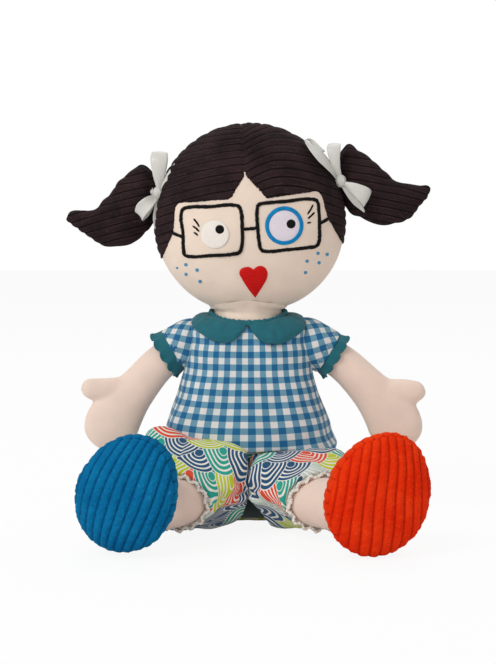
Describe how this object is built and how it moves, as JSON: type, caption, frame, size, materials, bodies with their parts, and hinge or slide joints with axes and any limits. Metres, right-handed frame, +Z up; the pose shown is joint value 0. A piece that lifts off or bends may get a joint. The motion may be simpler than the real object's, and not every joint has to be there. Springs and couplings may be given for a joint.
{
  "type": "sitting plush doll",
  "caption": "Sitting stuffed cloth doll with a big round head, corduroy hair in ribboned pigtails, embroidered glasses, gingham blouse, printed shorts and fat corduroy feet.",
  "frame": {"origin": "on the flat of the seat that the doll sits on, below the middle between its shoulders", "axes": "+Z up through the head; -Y the way the doll faces; +X towards the doll's own left arm"},
  "size_m": [0.2914, 0.205, 0.3153],
  "materials": {
    "skin_cloth": "matt cotton jersey",
    "hair_corduroy": "matt wide-wale corduroy",
    "black_thread": "satin stitch",
    "white_satin": "satin stitch",
    "blue_thread": "satin stitch",
    "red_satin": "satin stitch",
    "teal_cotton": "matt plain weave",
    "gingham_cotton": "matt woven check",
    "printed_cotton": "matt printed cotton",
    "lace": "matt eyelet lace",
    "satin_ribbon": "soft satin",
    "blue_corduroy": "matt wide-wale corduroy",
    "orange_corduroy": "matt wide-wale corduroy",
    "bean_canvas": "matt plain weave",
    "waist_elastic": "matt knitted elastic"
  },
  "bodies": {
    "torso": {"torso_body": "skin_cloth", "seat_bean_bag": "bean_canvas", "shorts_seat": "printed_cotton", "waist_elastic": "waist_elastic", "neck_binding": "teal_cotton", "blouse_front": "gingham_cotton", "blouse_back_right": "gingham_cotton", "blouse_back_left": "gingham_cotton", "collar_right": "teal_cotton", "collar_left": "teal_cotton"},
    "neck": {"neck": "skin_cloth"},
    "head": {"head_body": "skin_cloth", "hair_front_right": "hair_corduroy", "hair_front_left": "hair_corduroy", "hair_back": "hair_corduroy", "glasses_stitching": "black_thread", "eye_white_right": "white_satin", "pupil_right": "black_thread", "eye_white_left": "white_satin", "pupil_left": "black_thread", "eye_ring_left": "blue_thread", "mouth_heart": "red_satin"},
    "right_pigtail": {"pigtail_right": "hair_corduroy", "ribbon_band_right": "satin_ribbon", "ribbon_knot_right": "satin_ribbon", "ribbon_loop_upper_right": "satin_ribbon", "ribbon_loop_outer_right": "satin_ribbon", "ribbon_tail_right": "satin_ribbon"},
    "left_pigtail": {"pigtail_left": "hair_corduroy", "ribbon_band_left": "satin_ribbon", "ribbon_knot_left": "satin_ribbon", "ribbon_loop_upper_left": "satin_ribbon", "ribbon_loop_outer_left": "satin_ribbon", "ribbon_tail_left": "satin_ribbon"},
    "right_arm": {"arm_right": "skin_cloth", "sleeve_right": "gingham_cotton", "cuff_right": "teal_cotton"},
    "left_arm": {"arm_left": "skin_cloth", "sleeve_left": "gingham_cotton", "cuff_left": "teal_cotton"},
    "right_leg": {"leg_right": "skin_cloth", "foot_right": "blue_corduroy", "shorts_leg_right": "printed_cotton", "lace_frill_right": "lace"},
    "left_leg": {"leg_left": "skin_cloth", "foot_left": "orange_corduroy", "shorts_leg_left": "printed_cotton", "lace_frill_left": "lace"}
  },
  "joints": [
    {"name": "neck_nod", "type": "hinge", "parent": "torso", "child": "neck", "pos_m": [0, 0.002, 0.15], "axis": [1, 0, 0], "range_deg": [-8, 10]},
    {"name": "head_turn", "type": "hinge", "parent": "neck", "child": "head", "pos_m": [0, 0.002, 0.178], "axis": [0, 0, 1], "range_deg": [-35, 35]},
    {"name": "right_pigtail_swing", "type": "hinge", "parent": "head", "child": "right_pigtail", "pos_m": [-0.06745, 0.005, 0.26128], "axis": [0, 1, 0], "range_deg": [-10, 20]},
    {"name": "left_pigtail_swing", "type": "hinge", "parent": "head", "child": "left_pigtail", "pos_m": [0.06615, 0.005, 0.27156], "axis": [0, -1, 0], "range_deg": [-10, 20]},
    {"name": "right_shoulder", "type": "hinge", "parent": "torso", "child": "right_arm", "pos_m": [-0.05, 0, 0.138], "axis": [0, 1, 0], "range_deg": [-8, 50]},
    {"name": "left_shoulder", "type": "hinge", "parent": "torso", "child": "left_arm", "pos_m": [0.05, 0, 0.138], "axis": [0, -1, 0], "range_deg": [-8, 50]},
    {"name": "right_hip", "type": "hinge", "parent": "torso", "child": "right_leg", "pos_m": [-0.038, -0.034, 0.035], "axis": [-1, 0, 0], "range_deg": [-60, 15]},
    {"name": "left_hip", "type": "hinge", "parent": "torso", "child": "left_leg", "pos_m": [0.038, -0.034, 0.035], "axis": [-1, 0, 0], "range_deg": [-60, 15]}
  ]
}
